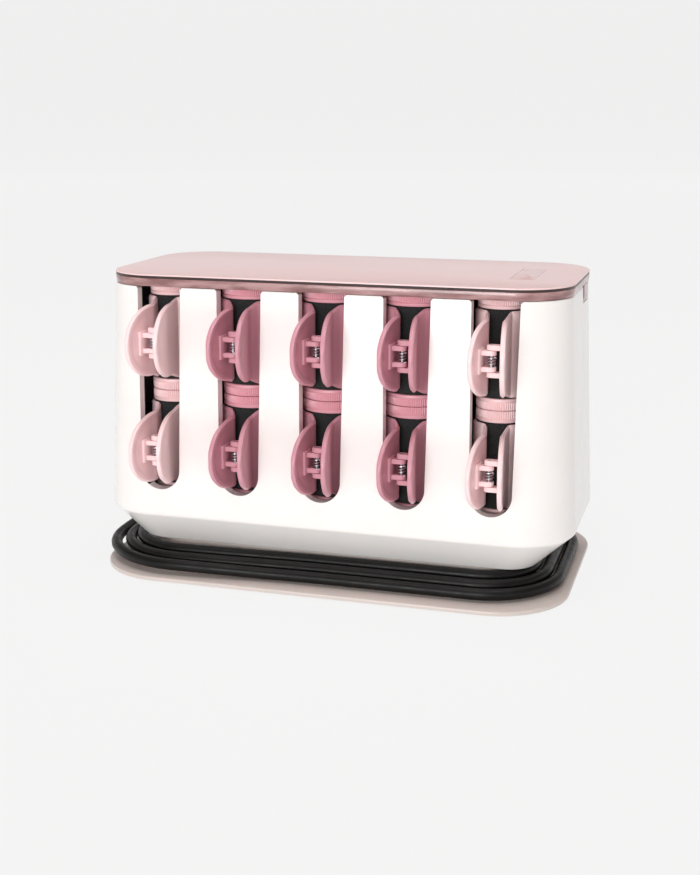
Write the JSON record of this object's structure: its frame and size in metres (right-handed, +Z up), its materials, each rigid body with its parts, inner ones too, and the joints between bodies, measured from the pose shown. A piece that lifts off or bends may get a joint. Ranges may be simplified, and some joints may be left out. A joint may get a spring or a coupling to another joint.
{
  "type": "heated hair roller set",
  "caption": "Table-top heated hair roller set: rollers with claw clips stand on heated posts in a slotted housing with a lift-off lid, and the lead winds round its neck.",
  "frame": {"origin": "centre of the base's footprint on the table, without the lead", "axes": "+X along the housing, -Y out of the front, +Z up"},
  "size_m": [0.2806, 0.1738, 0.174],
  "materials": {
    "cream_plastic": "glossy cream moulding",
    "foot_rubber": "soft black rubber",
    "steel": "plain steel",
    "black_plastic": "black heat-proof moulding",
    "aluminium_plate": "rolled plate",
    "aluminium_post": "turned and dulled",
    "white_nylon": "white nylon",
    "wire_jacket": "insulated wires",
    "lid_pink": "translucent dusky pink, glossy",
    "badge_plastic": "plain plate flush with the lid",
    "black_gloss": "glossy black",
    "lamp_lens": "red lens",
    "cord_pvc": "black PVC sheath",
    "plug_pvc": "black moulded plug with brass blades",
    "roller_small": "black flock between light pink caps",
    "roller_large": "black flock between dark pink caps",
    "clip_light_pink": "light pink, satin",
    "clip_dark_pink": "dark pink, satin"
  },
  "bodies": {
    "housing": {"base_tub": "cream_plastic", "housing_shell": "cream_plastic", "rubber_feet": "foot_rubber", "base_screws": "steel", "roller_tray": "black_plastic", "centre_divider": "black_plastic", "heater_plate": "aluminium_plate", "heating_posts": "aluminium_post", "heating_element": "steel", "thermostat": "steel", "terminal_block": "white_nylon", "lead_wires": "wire_jacket", "switch_frame": "black_gloss", "pilot_lamp": "lamp_lens", "strain_relief": "cord_pvc", "mains_cord": "cord_pvc", "mains_plug": "plug_pvc"},
    "rocker": {"switch_rocker": "black_gloss"},
    "lid": {"lid_shell": "lid_pink", "lid_badge": "badge_plastic"},
    "front_1_upper": {"roller_front_1_upper": "roller_small"},
    "front_1_upper_jaw_left": {"jaw_left_front_1_upper": "clip_light_pink"},
    "front_1_upper_jaw_right": {"jaw_right_front_1_upper": "clip_light_pink"},
    "front_2_upper": {"roller_front_2_upper": "roller_large"},
    "front_2_upper_jaw_left": {"jaw_left_front_2_upper": "clip_dark_pink"},
    "front_2_upper_jaw_right": {"jaw_right_front_2_upper": "clip_dark_pink"},
    "front_3_upper": {"roller_front_3_upper": "roller_large"},
    "front_3_upper_jaw_left": {"jaw_left_front_3_upper": "clip_dark_pink"},
    "front_3_upper_jaw_right": {"jaw_right_front_3_upper": "clip_dark_pink"},
    "front_4_upper": {"roller_front_4_upper": "roller_large"},
    "front_4_upper_jaw_left": {"jaw_left_front_4_upper": "clip_dark_pink"},
    "front_4_upper_jaw_right": {"jaw_right_front_4_upper": "clip_dark_pink"},
    "front_5_upper": {"roller_front_5_upper": "roller_small"},
    "front_5_upper_jaw_left": {"jaw_left_front_5_upper": "clip_light_pink"},
    "front_5_upper_jaw_right": {"jaw_right_front_5_upper": "clip_light_pink"},
    "front_1_lower": {"roller_front_1_lower": "roller_small"},
    "front_1_lower_jaw_left": {"jaw_left_front_1_lower": "clip_light_pink"},
    "front_1_lower_jaw_right": {"jaw_right_front_1_lower": "clip_light_pink"},
    "front_2_lower": {"roller_front_2_lower": "roller_large"},
    "front_2_lower_jaw_left": {"jaw_left_front_2_lower": "clip_dark_pink"},
    "front_2_lower_jaw_right": {"jaw_right_front_2_lower": "clip_dark_pink"},
    "front_3_lower": {"roller_front_3_lower": "roller_large"},
    "front_3_lower_jaw_left": {"jaw_left_front_3_lower": "clip_dark_pink"},
    "front_3_lower_jaw_right": {"jaw_right_front_3_lower": "clip_dark_pink"},
    "front_4_lower": {"roller_front_4_lower": "roller_large"},
    "front_4_lower_jaw_left": {"jaw_left_front_4_lower": "clip_dark_pink"},
    "front_4_lower_jaw_right": {"jaw_right_front_4_lower": "clip_dark_pink"},
    "front_5_lower": {"roller_front_5_lower": "roller_small"},
    "front_5_lower_jaw_left": {"jaw_left_front_5_lower": "clip_light_pink"},
    "front_5_lower_jaw_right": {"jaw_right_front_5_lower": "clip_light_pink"},
    "back_1_upper": {"roller_back_1_upper": "roller_small"},
    "back_2_upper": {"roller_back_2_upper": "roller_large"},
    "back_3_upper": {"roller_back_3_upper": "roller_large"},
    "back_4_upper": {"roller_back_4_upper": "roller_large"},
    "back_5_upper": {"roller_back_5_upper": "roller_small"},
    "back_1_lower": {"roller_back_1_lower": "roller_small"},
    "back_2_lower": {"roller_back_2_lower": "roller_large"},
    "back_3_lower": {"roller_back_3_lower": "roller_large"},
    "back_4_lower": {"roller_back_4_lower": "roller_large"},
    "back_5_lower": {"roller_back_5_lower": "roller_small"}
  },
  "joints": [
    {"name": "front_1_upper_lift", "type": "slide", "parent": "housing", "child": "front_1_upper", "axis": [0, 0, 1], "range_m": [0, 0.2]},
    {"name": "front_1_upper_jaw_left_swing", "type": "hinge", "parent": "front_1_upper", "child": "front_1_upper_jaw_left", "pos_m": [-0.096, -0.07, 0.13685], "axis": [0, 0, 1], "range_deg": [0, 8.5], "stiffness_Nm_per_rad": 0.3, "springref_deg": -11.46},
    {"name": "front_1_upper_jaw_right_swing", "type": "hinge", "parent": "front_1_upper", "child": "front_1_upper_jaw_right", "pos_m": [-0.096, -0.07, 0.13685], "axis": [0, 0, 1], "range_deg": [-8.5, 0]},
    {"name": "front_2_upper_lift", "type": "slide", "parent": "housing", "child": "front_2_upper", "axis": [0, 0, 1], "range_m": [0, 0.2]},
    {"name": "front_2_upper_jaw_left_swing", "type": "hinge", "parent": "front_2_upper", "child": "front_2_upper_jaw_left", "pos_m": [-0.048, -0.07, 0.13685], "axis": [0, 0, 1], "range_deg": [0, 8.5], "stiffness_Nm_per_rad": 0.3, "springref_deg": -11.46},
    {"name": "front_2_upper_jaw_right_swing", "type": "hinge", "parent": "front_2_upper", "child": "front_2_upper_jaw_right", "pos_m": [-0.048, -0.07, 0.13685], "axis": [0, 0, 1], "range_deg": [-8.5, 0]},
    {"name": "front_3_upper_lift", "type": "slide", "parent": "housing", "child": "front_3_upper", "axis": [0, 0, 1], "range_m": [0, 0.2]},
    {"name": "front_3_upper_jaw_left_swing", "type": "hinge", "parent": "front_3_upper", "child": "front_3_upper_jaw_left", "pos_m": [0, -0.07, 0.13685], "axis": [0, 0, 1], "range_deg": [0, 8.5], "stiffness_Nm_per_rad": 0.3, "springref_deg": -11.46},
    {"name": "front_3_upper_jaw_right_swing", "type": "hinge", "parent": "front_3_upper", "child": "front_3_upper_jaw_right", "pos_m": [0, -0.07, 0.13685], "axis": [0, 0, 1], "range_deg": [-8.5, 0]},
    {"name": "front_4_upper_lift", "type": "slide", "parent": "housing", "child": "front_4_upper", "axis": [0, 0, 1], "range_m": [0, 0.2]},
    {"name": "front_4_upper_jaw_left_swing", "type": "hinge", "parent": "front_4_upper", "child": "front_4_upper_jaw_left", "pos_m": [0.048, -0.07, 0.13685], "axis": [0, 0, 1], "range_deg": [0, 8.5], "stiffness_Nm_per_rad": 0.3, "springref_deg": -11.46},
    {"name": "front_4_upper_jaw_right_swing", "type": "hinge", "parent": "front_4_upper", "child": "front_4_upper_jaw_right", "pos_m": [0.048, -0.07, 0.13685], "axis": [0, 0, 1], "range_deg": [-8.5, 0]},
    {"name": "front_5_upper_lift", "type": "slide", "parent": "housing", "child": "front_5_upper", "axis": [0, 0, 1], "range_m": [0, 0.2]},
    {"name": "front_5_upper_jaw_left_swing", "type": "hinge", "parent": "front_5_upper", "child": "front_5_upper_jaw_left", "pos_m": [0.096, -0.07, 0.13685], "axis": [0, 0, 1], "range_deg": [0, 8.5], "stiffness_Nm_per_rad": 0.3, "springref_deg": -11.46},
    {"name": "front_5_upper_jaw_right_swing", "type": "hinge", "parent": "front_5_upper", "child": "front_5_upper_jaw_right", "pos_m": [0.096, -0.07, 0.13685], "axis": [0, 0, 1], "range_deg": [-8.5, 0]},
    {"name": "front_1_lower_lift", "type": "slide", "parent": "housing", "child": "front_1_lower", "axis": [0, 0, 1], "range_m": [0, 0.13]},
    {"name": "front_1_lower_jaw_left_swing", "type": "hinge", "parent": "front_1_lower", "child": "front_1_lower_jaw_left", "pos_m": [-0.096, -0.07, 0.07485], "axis": [0, 0, 1], "range_deg": [0, 8.5], "stiffness_Nm_per_rad": 0.3, "springref_deg": -11.46},
    {"name": "front_1_lower_jaw_right_swing", "type": "hinge", "parent": "front_1_lower", "child": "front_1_lower_jaw_right", "pos_m": [-0.096, -0.07, 0.07485], "axis": [0, 0, 1], "range_deg": [-8.5, 0]},
    {"name": "front_2_lower_lift", "type": "slide", "parent": "housing", "child": "front_2_lower", "axis": [0, 0, 1], "range_m": [0, 0.13]},
    {"name": "front_2_lower_jaw_left_swing", "type": "hinge", "parent": "front_2_lower", "child": "front_2_lower_jaw_left", "pos_m": [-0.048, -0.07, 0.07485], "axis": [0, 0, 1], "range_deg": [0, 8.5], "stiffness_Nm_per_rad": 0.3, "springref_deg": -11.46},
    {"name": "front_2_lower_jaw_right_swing", "type": "hinge", "parent": "front_2_lower", "child": "front_2_lower_jaw_right", "pos_m": [-0.048, -0.07, 0.07485], "axis": [0, 0, 1], "range_deg": [-8.5, 0]},
    {"name": "front_3_lower_lift", "type": "slide", "parent": "housing", "child": "front_3_lower", "axis": [0, 0, 1], "range_m": [0, 0.13]},
    {"name": "front_3_lower_jaw_left_swing", "type": "hinge", "parent": "front_3_lower", "child": "front_3_lower_jaw_left", "pos_m": [0, -0.07, 0.07485], "axis": [0, 0, 1], "range_deg": [0, 8.5], "stiffness_Nm_per_rad": 0.3, "springref_deg": -11.46},
    {"name": "front_3_lower_jaw_right_swing", "type": "hinge", "parent": "front_3_lower", "child": "front_3_lower_jaw_right", "pos_m": [0, -0.07, 0.07485], "axis": [0, 0, 1], "range_deg": [-8.5, 0]},
    {"name": "front_4_lower_lift", "type": "slide", "parent": "housing", "child": "front_4_lower", "axis": [0, 0, 1], "range_m": [0, 0.13]},
    {"name": "front_4_lower_jaw_left_swing", "type": "hinge", "parent": "front_4_lower", "child": "front_4_lower_jaw_left", "pos_m": [0.048, -0.07, 0.07485], "axis": [0, 0, 1], "range_deg": [0, 8.5], "stiffness_Nm_per_rad": 0.3, "springref_deg": -11.46},
    {"name": "front_4_lower_jaw_right_swing", "type": "hinge", "parent": "front_4_lower", "child": "front_4_lower_jaw_right", "pos_m": [0.048, -0.07, 0.07485], "axis": [0, 0, 1], "range_deg": [-8.5, 0]},
    {"name": "front_5_lower_lift", "type": "slide", "parent": "housing", "child": "front_5_lower", "axis": [0, 0, 1], "range_m": [0, 0.13]},
    {"name": "front_5_lower_jaw_left_swing", "type": "hinge", "parent": "front_5_lower", "child": "front_5_lower_jaw_left", "pos_m": [0.096, -0.07, 0.07485], "axis": [0, 0, 1], "range_deg": [0, 8.5], "stiffness_Nm_per_rad": 0.3, "springref_deg": -11.46},
    {"name": "front_5_lower_jaw_right_swing", "type": "hinge", "parent": "front_5_lower", "child": "front_5_lower_jaw_right", "pos_m": [0.096, -0.07, 0.07485], "axis": [0, 0, 1], "range_deg": [-8.5, 0]},
    {"name": "back_1_upper_lift", "type": "slide", "parent": "housing", "child": "back_1_upper", "axis": [0, 0, 1], "range_m": [0, 0.2]},
    {"name": "back_2_upper_lift", "type": "slide", "parent": "housing", "child": "back_2_upper", "axis": [0, 0, 1], "range_m": [0, 0.2]},
    {"name": "back_3_upper_lift", "type": "slide", "parent": "housing", "child": "back_3_upper", "axis": [0, 0, 1], "range_m": [0, 0.2]},
    {"name": "back_4_upper_lift", "type": "slide", "parent": "housing", "child": "back_4_upper", "axis": [0, 0, 1], "range_m": [0, 0.2]},
    {"name": "back_5_upper_lift", "type": "slide", "parent": "housing", "child": "back_5_upper", "axis": [0, 0, 1], "range_m": [0, 0.2]},
    {"name": "back_1_lower_lift", "type": "slide", "parent": "housing", "child": "back_1_lower", "axis": [0, 0, 1], "range_m": [0, 0.13]},
    {"name": "back_2_lower_lift", "type": "slide", "parent": "housing", "child": "back_2_lower", "axis": [0, 0, 1], "range_m": [0, 0.13]},
    {"name": "back_3_lower_lift", "type": "slide", "parent": "housing", "child": "back_3_lower", "axis": [0, 0, 1], "range_m": [0, 0.13]},
    {"name": "back_4_lower_lift", "type": "slide", "parent": "housing", "child": "back_4_lower", "axis": [0, 0, 1], "range_m": [0, 0.13]},
    {"name": "back_5_lower_lift", "type": "slide", "parent": "housing", "child": "back_5_lower", "axis": [0, 0, 1], "range_m": [0, 0.13]},
    {"name": "lid_lift", "type": "slide", "parent": "front_3_upper", "child": "lid", "axis": [0, 0, 1], "range_m": [0, 0.12]},
    {"name": "switch_rock", "type": "hinge", "parent": "housing", "child": "rocker", "pos_m": [-0.13395, 0, 0.07357], "axis": [0, 1, 0], "range_deg": [0, 14]}
  ],
  "couplings": [
    {"joint": "front_1_upper_lift", "follows": "front_3_upper_lift", "ratio": 1},
    {"joint": "front_1_upper_jaw_right_swing", "follows": "front_1_upper_jaw_left_swing", "ratio": -1},
    {"joint": "front_2_upper_lift", "follows": "front_3_upper_lift", "ratio": 1},
    {"joint": "front_2_upper_jaw_right_swing", "follows": "front_2_upper_jaw_left_swing", "ratio": -1},
    {"joint": "front_3_upper_jaw_right_swing", "follows": "front_3_upper_jaw_left_swing", "ratio": -1},
    {"joint": "front_4_upper_lift", "follows": "front_3_upper_lift", "ratio": 1},
    {"joint": "front_4_upper_jaw_right_swing", "follows": "front_4_upper_jaw_left_swing", "ratio": -1},
    {"joint": "front_5_upper_lift", "follows": "front_3_upper_lift", "ratio": 1},
    {"joint": "front_5_upper_jaw_right_swing", "follows": "front_5_upper_jaw_left_swing", "ratio": -1},
    {"joint": "front_1_lower_lift", "follows": "front_3_upper_lift", "ratio": 0.65},
    {"joint": "front_1_lower_jaw_right_swing", "follows": "front_1_lower_jaw_left_swing", "ratio": -1},
    {"joint": "front_2_lower_lift", "follows": "front_3_upper_lift", "ratio": 0.65},
    {"joint": "front_2_lower_jaw_right_swing", "follows": "front_2_lower_jaw_left_swing", "ratio": -1},
    {"joint": "front_3_lower_lift", "follows": "front_3_upper_lift", "ratio": 0.65},
    {"joint": "front_3_lower_jaw_right_swing", "follows": "front_3_lower_jaw_left_swing", "ratio": -1},
    {"joint": "front_4_lower_lift", "follows": "front_3_upper_lift", "ratio": 0.65},
    {"joint": "front_4_lower_jaw_right_swing", "follows": "front_4_lower_jaw_left_swing", "ratio": -1},
    {"joint": "front_5_lower_lift", "follows": "front_3_upper_lift", "ratio": 0.65},
    {"joint": "front_5_lower_jaw_right_swing", "follows": "front_5_lower_jaw_left_swing", "ratio": -1},
    {"joint": "back_1_upper_lift", "follows": "front_3_upper_lift", "ratio": 1},
    {"joint": "back_2_upper_lift", "follows": "front_3_upper_lift", "ratio": 1},
    {"joint": "back_3_upper_lift", "follows": "front_3_upper_lift", "ratio": 1},
    {"joint": "back_4_upper_lift", "follows": "front_3_upper_lift", "ratio": 1},
    {"joint": "back_5_upper_lift", "follows": "front_3_upper_lift", "ratio": 1},
    {"joint": "back_1_lower_lift", "follows": "front_3_upper_lift", "ratio": 0.65},
    {"joint": "back_2_lower_lift", "follows": "front_3_upper_lift", "ratio": 0.65},
    {"joint": "back_3_lower_lift", "follows": "front_3_upper_lift", "ratio": 0.65},
    {"joint": "back_4_lower_lift", "follows": "front_3_upper_lift", "ratio": 0.65},
    {"joint": "back_5_lower_lift", "follows": "front_3_upper_lift", "ratio": 0.65}
  ]
}
